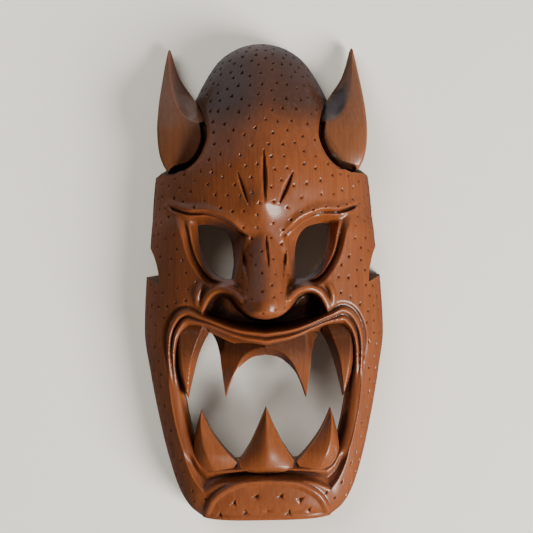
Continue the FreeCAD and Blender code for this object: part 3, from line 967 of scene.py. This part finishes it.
def remap(tree, value, low, high, to_low=0.0, to_high=1.0):
    node = tree.nodes.new("ShaderNodeMapRange")
    node.interpolation_type = "SMOOTHSTEP"
    tree.links.new(value, node.inputs["Value"])
    for label, number in (("From Min", low), ("From Max", high), ("To Min", to_low), ("To Max", to_high)):
        node.inputs[label].default_value = number
    return node.outputs["Result"]


def mix_colour(tree, factor, first, second, blend="MIX"):
    node = tree.nodes.new("ShaderNodeMix")
    node.data_type = "RGBA"
    node.blend_type = blend
    for label, value in (("Factor", factor), ("A", first), ("B", second)):
        socket = node.inputs[label]
        if isinstance(value, (int, float, tuple)):
            socket.default_value = value
        else:
            tree.links.new(value, socket)
    return node.outputs["Result"]


def noise(tree, place, scale, stretch, detail=4.0, roughness=0.55):
    mapping = tree.nodes.new("ShaderNodeMapping")
    mapping.inputs["Scale"].default_value = stretch
    tree.links.new(place, mapping.inputs["Vector"])
    node = tree.nodes.new("ShaderNodeTexNoise")
    node.inputs["Scale"].default_value = scale
    node.inputs["Detail"].default_value = detail
    node.inputs["Roughness"].default_value = roughness
    tree.links.new(mapping.outputs["Vector"], node.inputs["Vector"])
    return node.outputs["Fac"]


def make_grain_group():
    """Straight close grain that runs up the mask, with short pores and broad darker growth bands."""
    group, start, end = new_group("upright_grain", [("Place", "NodeSocketVector")],
                                  [("Streaks", "NodeSocketFloat"), ("Bands", "NodeSocketFloat"),
                                   ("Pores", "NodeSocketFloat")])
    place = start.outputs["Place"]
    streaks = noise(group, place, 420, (1, 1, 0.035), 5)
    bands = noise(group, place, 46, (1, 0.6, 0.08), 3)
    pores = remap(group, noise(group, place, 1500, (1, 1, 0.05), 2), 0.62, 0.72)
    group.links.new(streaks, end.inputs["Streaks"])
    group.links.new(bands, end.inputs["Bands"])
    group.links.new(pores, end.inputs["Pores"])
    return group


def make_wear_and_shade_group():
    """Rubbed edges, painted shade in hollows and cuts, and a broken film of dust, from how the wood is
    sheltered and exposed.
    """
    group, start, end = new_group("wear_and_painted_shade",
                                  [("Place", "NodeSocketVector"), ("Shelter", "NodeSocketFloat"),
                                   ("Exposed", "NodeSocketFloat")],
                                  [("Rubbed", "NodeSocketFloat"), ("PaintedShade", "NodeSocketFloat"),
                                   ("Dust", "NodeSocketFloat")])
    place = start.outputs["Place"]
    patches = noise(group, place, 60, (1, 1, 1), 4)
    rubbed = remap(group, start.outputs["Exposed"], 0.58, 0.95)
    rubbed = math_node(group, "MULTIPLY", rubbed, remap(group, patches, 0.3, 0.65, 0.35, 1.0))
    # Painted shade: darker the more sheltered a point is and the deeper in a cut it lies.
    painted_shade = remap(group, start.outputs["Shelter"], 0.22, 0.84)
    shade_in_cuts = remap(group, start.outputs["Exposed"], 0.42, 0.15)
    painted_shade = math_node(group, "MAXIMUM", painted_shade, math_node(group, "MULTIPLY", shade_in_cuts, 0.85))
    specks = remap(group, noise(group, place, 260, (1, 1, 1), 3), 0.55, 0.75)
    dust = math_node(group, "MULTIPLY", specks, remap(group, start.outputs["Shelter"], 0.15, 0.6))
    group.links.new(rubbed, end.inputs["Rubbed"])
    group.links.new(painted_shade, end.inputs["PaintedShade"])
    group.links.new(dust, end.inputs["Dust"])
    return group


grain_group = make_grain_group()
wear_and_shade_group = make_wear_and_shade_group()


def use_group(tree, group, **links):
    node = tree.nodes.new("ShaderNodeGroup")
    node.node_tree = group
    for label, socket in links.items():
        tree.links.new(socket, node.inputs[label])
    return node


def start_material(name):
    material = bpy.data.materials.new(name)
    material.use_nodes = True
    tree = material.node_tree
    place = tree.nodes.new("ShaderNodeTexCoord").outputs["Object"]
    return material, tree, tree.nodes["Principled BSDF"], place


def kept_value(tree, name):
    node = tree.nodes.new("ShaderNodeAttribute")
    node.attribute_name = name
    return node.outputs["Fac"]


def stained_wood(name, light, dark, deep, shine):
    """Close-grained wood under a brown stain and a satin wax, with painted shade in its hollows and cuts."""
    material, tree, shader, place = start_material(name)
    grain = use_group(tree, grain_group, Place=place)
    wear_and_shade = use_group(tree, wear_and_shade_group, Place=place, Shelter=kept_value(tree, "shelter_and_painted_shade"),
                     Exposed=kept_value(tree, "exposed"))
    clouds = noise(tree, place, 16, (1, 1, 0.5), 3)
    colour = mix_colour(tree, remap(tree, grain.outputs["Streaks"], 0.3, 0.72, 0.35, 1), dark, light)
    colour = mix_colour(tree, remap(tree, grain.outputs["Bands"], 0.45, 0.75, 0, 0.3), colour, dark)
    colour = mix_colour(tree, remap(tree, clouds, 0.35, 0.75, 0, 0.35), colour, dark)
    colour = mix_colour(tree, math_node(tree, "MULTIPLY", grain.outputs["Pores"], 0.3), colour, deep)
    worn = tuple(min(1.0, 1.5 * channel) for channel in light[:3]) + (1.0,)
    colour = mix_colour(tree, math_node(tree, "MULTIPLY", wear_and_shade.outputs["Rubbed"], 0.55), colour, worn)
    # Painted shade: sheltered hollows and cuts are mixed towards the deep colour.
    colour = mix_colour(tree, math_node(tree, "MULTIPLY", wear_and_shade.outputs["PaintedShade"], 0.9), colour, deep)
    colour = mix_colour(tree, math_node(tree, "MULTIPLY", wear_and_shade.outputs["Dust"], 0.06), colour,
                        (0.45, 0.40, 0.34, 1))
    # behind holds the back's own dark unwaxed wood, and painted shade on the level shelves.
    behind = kept_value(tree, "behind")
    back_wood_and_shelf_shade = mix_colour(tree, remap(tree, grain.outputs["Bands"], 0.3, 0.7), (0.050, 0.030, 0.019, 1),
                     (0.085, 0.052, 0.032, 1))
    colour = mix_colour(tree, behind, colour, back_wood_and_shelf_shade)
    tree.links.new(colour, shader.inputs["Base Color"])
    roughness = math_node(tree, "ADD", shine, remap(tree, clouds, 0.3, 0.7, -0.04, 0.08))
    roughness = math_node(tree, "ADD", roughness, math_node(tree, "MULTIPLY", wear_and_shade.outputs["Dust"], 0.25))
    roughness = math_node(tree, "ADD", roughness, math_node(tree, "MULTIPLY", behind, 0.3))
    tree.links.new(roughness, shader.inputs["Roughness"])
    coat = math_node(tree, "SUBTRACT", 0.55, math_node(tree, "MULTIPLY", behind, 0.55))
    tree.links.new(coat, shader.inputs["Coat Weight"])
    shader.inputs["Specular IOR Level"].default_value = 0.2
    shader.inputs["Coat Roughness"].default_value = 0.19
    shader.inputs["Coat IOR"].default_value = 1.45
    height = math_node(tree, "SUBTRACT", grain.outputs["Streaks"],
                       math_node(tree, "MULTIPLY", grain.outputs["Pores"], 0.7))
    bump = tree.nodes.new("ShaderNodeBump")
    bump.inputs["Strength"].default_value = 0.35
    bump.inputs["Distance"].default_value = 0.00025
    tree.links.new(height, bump.inputs["Height"])
    tree.links.new(bump.outputs["Normal"], shader.inputs["Normal"])
    return material


def tarnished_steel(name):
    """Plated steel that has gone dull and brown in blotches."""
    material, tree, shader, place = start_material(name)
    blotches = noise(tree, place, 240, (1, 1, 1), 5)
    scratches = noise(tree, place, 900, (0.15, 1, 1), 3)
    stain = remap(tree, blotches, 0.5, 0.7)
    colour = mix_colour(tree, stain, (0.46, 0.43, 0.38, 1), (0.16, 0.10, 0.06, 1))
    tree.links.new(colour, shader.inputs["Base Color"])
    tree.links.new(math_node(tree, "SUBTRACT", 1.0, math_node(tree, "MULTIPLY", stain, 0.5)),
                   shader.inputs["Metallic"])
    tree.links.new(remap(tree, scratches, 0.3, 0.7, 0.28, 0.52), shader.inputs["Roughness"])
    bump = tree.nodes.new("ShaderNodeBump")
    bump.inputs["Strength"].default_value = 0.3
    bump.inputs["Distance"].default_value = 0.00005
    tree.links.new(scratches, bump.inputs["Height"])
    tree.links.new(bump.outputs["Normal"], shader.inputs["Normal"])
    return material


def dress(piece, material):
    piece.data.materials.clear()
    piece.data.materials.append(material)


face_wood = stained_wood("stained_face_wood", (0.255, 0.072, 0.020, 1), (0.165, 0.041, 0.012, 1),
                         (0.014, 0.005, 0.003, 1), 0.42)
# The horns' stain is greyer and paler than the face's: a painted sheen.
horn_wood = stained_wood("stained_horn_wood_painted_sheen", (0.25, 0.088, 0.034, 1), (0.17, 0.056, 0.021, 1),
                         (0.014, 0.005, 0.003, 1), 0.42)
fang_wood = stained_wood("stained_fang_wood", (0.275, 0.080, 0.022, 1), (0.18, 0.046, 0.013, 1),
                         (0.014, 0.005, 0.003, 1), 0.38)
hanger_steel = tarnished_steel("tarnished_steel")
for piece in pieces:
    dress(piece, {"face_wood": face_wood, "horn_wood": horn_wood, "fang_wood": fang_wood}[piece["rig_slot"]])
for name in ("hanger_strap", "hanger_ring", "hanger_screw"):
    dress(frame["nodes"][name], hanger_steel)

# ---------------------------------------------------------------------------------------------------
# Stage, lights and camera.

BACKDROP_SIZE = 4.0
BACKDROP_GAP = 0.001


def make_backdrop():
    bpy.ops.mesh.primitive_plane_add(size=BACKDROP_SIZE, location=(0, BACKDROP_GAP, 0),
                                     rotation=(math.pi / 2, 0, 0))
    backdrop = bpy.context.active_object
    backdrop.name = "backdrop"
    backdrop.visible_shadow = False
    backdrop.visible_glossy = False
    material = bpy.data.materials.new("pale_cloth")
    material.use_nodes = True
    nodes, links = material.node_tree.nodes, material.node_tree.links
    shader = nodes["Principled BSDF"]
    shader.inputs["Base Color"].default_value = (0.91, 0.87, 0.79, 1)
    shader.inputs["Roughness"].default_value = 0.9
    clear = nodes.new("ShaderNodeBsdfTransparent")
    mix = nodes.new("ShaderNodeMixShader")
    facing = nodes.new("ShaderNodeNewGeometry")
    links.new(facing.outputs["Backfacing"], mix.inputs["Fac"])
    links.new(shader.outputs["BSDF"], mix.inputs[1])
    links.new(clear.outputs["BSDF"], mix.inputs[2])
    links.new(mix.outputs["Shader"], nodes["Material Output"].inputs["Surface"])
    backdrop.data.materials.append(material)
    return backdrop


def area_light(name, place, aim, size, power, color=(1, 1, 1)):
    data = bpy.data.lights.new(name, "AREA")
    data.shape = "DISK"
    data.size = size
    data.energy = power
    data.color = color
    light = bpy.data.objects.new(name, data)
    light.location = place
    light.rotation_euler = (Vector(aim) - Vector(place)).to_track_quat("-Z", "Y").to_euler()
    bpy.context.scene.collection.objects.link(light)
    return light


def light_only(light, piece):
    """Keeps a light's wash on one piece; the others still throw their shadows on it."""
    lit = bpy.data.collections.new(light.name + "_lights")
    lit.objects.link(piece)
    light.light_linking.receiver_collection = lit


CAMERA_TURN = math.radians(-1.31)
CAMERA_ROLL = math.radians(-0.75)
CAMERA_TARGET = Vector((0.002, -0.038, MID_HEIGHT + 0.0086))
CAMERA_DISTANCE = 0.768
CAMERA_LENS = 62.81426


def make_camera():
    """Nearly square on, turned a little, with the top of the mask leaning left."""
    turn, roll = CAMERA_TURN, CAMERA_ROLL
    away = Vector((-math.sin(turn), math.cos(turn), 0))
    right, up = Vector((math.cos(turn), math.sin(turn), 0)), Vector((0, 0, 1))
    tilted_right = math.cos(roll) * right + math.sin(roll) * up
    tilted_up = math.cos(roll) * up - math.sin(roll) * right
    place = CAMERA_TARGET - away * CAMERA_DISTANCE
    data = bpy.data.cameras.new("camera")
    data.sensor_width = 36
    data.lens = CAMERA_LENS
    camera = bpy.data.objects.new("camera", data)
    axes = Matrix((tilted_right, tilted_up, -away)).transposed()
    camera.matrix_world = Matrix.Translation(place) @ axes.to_4x4()
    bpy.context.scene.collection.objects.link(camera)
    bpy.context.scene.camera = camera


def make_world():
    """A dim room under a soft ceiling, brighter towards the top."""
    world = bpy.data.worlds.new("studio")
    world.use_nodes = True
    tree = world.node_tree
    background = tree.nodes["Background"]
    background.inputs["Color"].default_value = (0.90, 0.92, 0.94, 1)
    parts = tree.nodes.new("ShaderNodeSeparateXYZ")
    tree.links.new(tree.nodes.new("ShaderNodeTexCoord").outputs["Generated"], parts.inputs["Vector"])
    tree.links.new(remap(tree, parts.outputs["Z"], 0.1, 1.0, 0.08, 0.72), background.inputs["Strength"])
    bpy.context.scene.world = world


mask_middle = (0, 0, MID_HEIGHT)
cloth = make_backdrop()
make_world()
area_light("window", (1.62, -1.32, -1.36), mask_middle, 1.25, 118, (1, 0.98, 0.95))
area_light("sky", (-1.3, -0.7, 1.1), mask_middle, 2.4, 4, (0.90, 0.95, 1))
area_light("rear", (-0.4, 1.1, 0.5), mask_middle, 0.8, 12).visible_glossy = False
cloth_wash = area_light("cloth_wash", (-1.1, -1.5, 0.9), mask_middle, 1.6, 34, (1, 0.975, 0.92))
light_only(cloth_wash, cloth)
make_camera()
